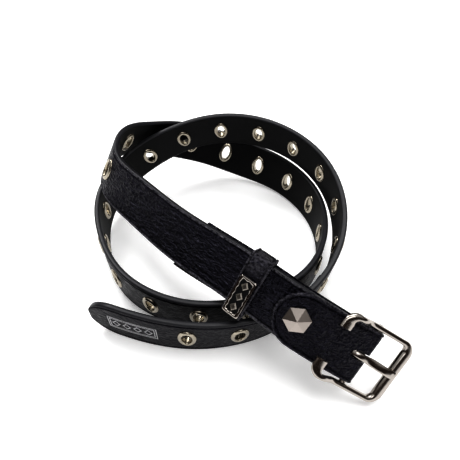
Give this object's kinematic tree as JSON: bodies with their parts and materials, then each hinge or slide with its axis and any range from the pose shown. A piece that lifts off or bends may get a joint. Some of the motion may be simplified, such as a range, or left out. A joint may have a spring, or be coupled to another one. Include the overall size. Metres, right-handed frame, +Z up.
{
  "type": "eyelet belt",
  "caption": "Black leather belt with oval metal eyelets along its length, coiled on a surface with its pronged buckle end lying across the coil.",
  "frame": {"origin": "middle of the footprint, on the surface that the belt lies on", "axes": "+Z up; +X to the right and +Y away from a viewer who has the buckle at the lower right"},
  "size_m": [0.1891, 0.1926, 0.0674],
  "materials": {
    "strap_leather": "black finished leather, smooth and half gloss",
    "grained_leather": "black embossed leather with a pebble grain",
    "eyelet_nickel": "satin nickel plate",
    "buckle_nickel": "polished nickel plate"
  },
  "bodies": {
    "belt": {"strap": "strap_leather", "buckle_fold": "grained_leather", "keeper_loop": "grained_leather", "keeper_plate": "eyelet_nickel", "hex_stud": "buckle_nickel", "eyelet_01": "eyelet_nickel", "eyelet_02": "eyelet_nickel", "eyelet_03": "eyelet_nickel", "eyelet_04": "eyelet_nickel", "eyelet_05": "eyelet_nickel", "eyelet_06": "eyelet_nickel", "eyelet_07": "eyelet_nickel", "eyelet_08": "eyelet_nickel", "eyelet_09": "eyelet_nickel", "eyelet_10": "eyelet_nickel", "eyelet_11": "eyelet_nickel", "eyelet_12": "eyelet_nickel", "eyelet_13": "eyelet_nickel", "eyelet_14": "eyelet_nickel", "eyelet_15": "eyelet_nickel", "eyelet_16": "eyelet_nickel", "eyelet_17": "eyelet_nickel", "eyelet_18": "eyelet_nickel", "eyelet_19": "eyelet_nickel", "eyelet_20": "eyelet_nickel", "eyelet_21": "eyelet_nickel", "eyelet_22": "eyelet_nickel", "eyelet_23": "eyelet_nickel", "eyelet_24": "eyelet_nickel", "eyelet_25": "eyelet_nickel", "eyelet_26": "eyelet_nickel", "eyelet_27": "eyelet_nickel", "eyelet_28": "eyelet_nickel", "eyelet_29": "eyelet_nickel", "eyelet_30": "eyelet_nickel"},
    "buckle": {"buckle_frame": "buckle_nickel"},
    "tongue": {"prong": "buckle_nickel"}
  },
  "joints": [
    {"name": "buckle_on_fold", "type": "hinge", "parent": "belt", "child": "buckle", "pos_m": [0.06773, -0.07914, 0.02413], "axis": [0.488, 0.5616, 0.6682], "range_deg": [0, 80]},
    {"name": "prong_on_bar", "type": "hinge", "parent": "buckle", "child": "tongue", "pos_m": [0.06773, -0.07914, 0.02413], "axis": [-0.488, -0.5616, -0.6682], "range_deg": [0, 115]}
  ]
}
